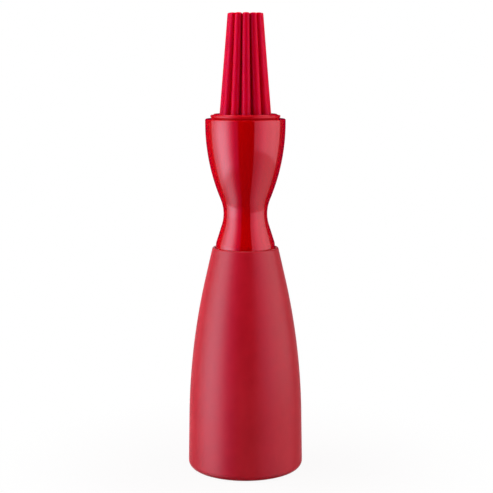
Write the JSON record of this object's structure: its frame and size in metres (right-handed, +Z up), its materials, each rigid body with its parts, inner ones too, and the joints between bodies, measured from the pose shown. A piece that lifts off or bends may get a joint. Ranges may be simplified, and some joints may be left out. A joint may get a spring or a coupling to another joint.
{
  "type": "squeeze-bottle pastry brush",
  "caption": "Upright squeeze-bottle pastry brush: soft tapered bottle, rigid hourglass neck and a head of thick round bristles that is fed from the bottle.",
  "frame": {"origin": "on the axis, at the surface that the bottle stands on", "axes": "+Z up along the axis, from the base to the bristle tips; -Y towards the viewer of the picture; +X to the viewer's right"},
  "size_m": [0.0506, 0.0506, 0.2001],
  "materials": {
    "bottle_silicone": "matte, fine bloom",
    "brush_silicone": "satin",
    "neck_plastic": "high gloss",
    "collar_plastic": "as moulded",
    "seal_silicone": "matte, translucent white"
  },
  "bodies": {
    "bottle": {"bottle": "bottle_silicone", "mouth_collar": "collar_plastic"},
    "seal": {"seal_ring": "seal_silicone"},
    "neck": {"neck": "neck_plastic"},
    "plate": {"outlet_plate": "collar_plastic", "drip_valve": "seal_silicone"},
    "head": {"brush_head": "brush_silicone"},
    "ring": {"retaining_ring": "neck_plastic"}
  },
  "joints": [
    {"name": "neck_lift", "type": "slide", "parent": "bottle", "child": "seal", "axis": [0, 0, 1], "range_m": [0, 0.009]},
    {"name": "neck_turn", "type": "hinge", "parent": "seal", "child": "neck", "pos_m": [0, 0, 0.0974], "axis": [0, 0, 1], "range_deg": [0, 540]},
    {"name": "plate_lift", "type": "slide", "parent": "neck", "child": "plate", "axis": [0, 0, 1], "range_m": [0, 0.02]},
    {"name": "head_lift", "type": "slide", "parent": "plate", "child": "head", "axis": [0, 0, 1], "range_m": [0, 0.02]},
    {"name": "ring_lift", "type": "slide", "parent": "head", "child": "ring", "axis": [0, 0, 1], "range_m": [0, 0.05]}
  ],
  "couplings": [
    {"joint": "neck_lift", "follows": "neck_turn", "m_per_rad": 0.00095493}
  ]
}
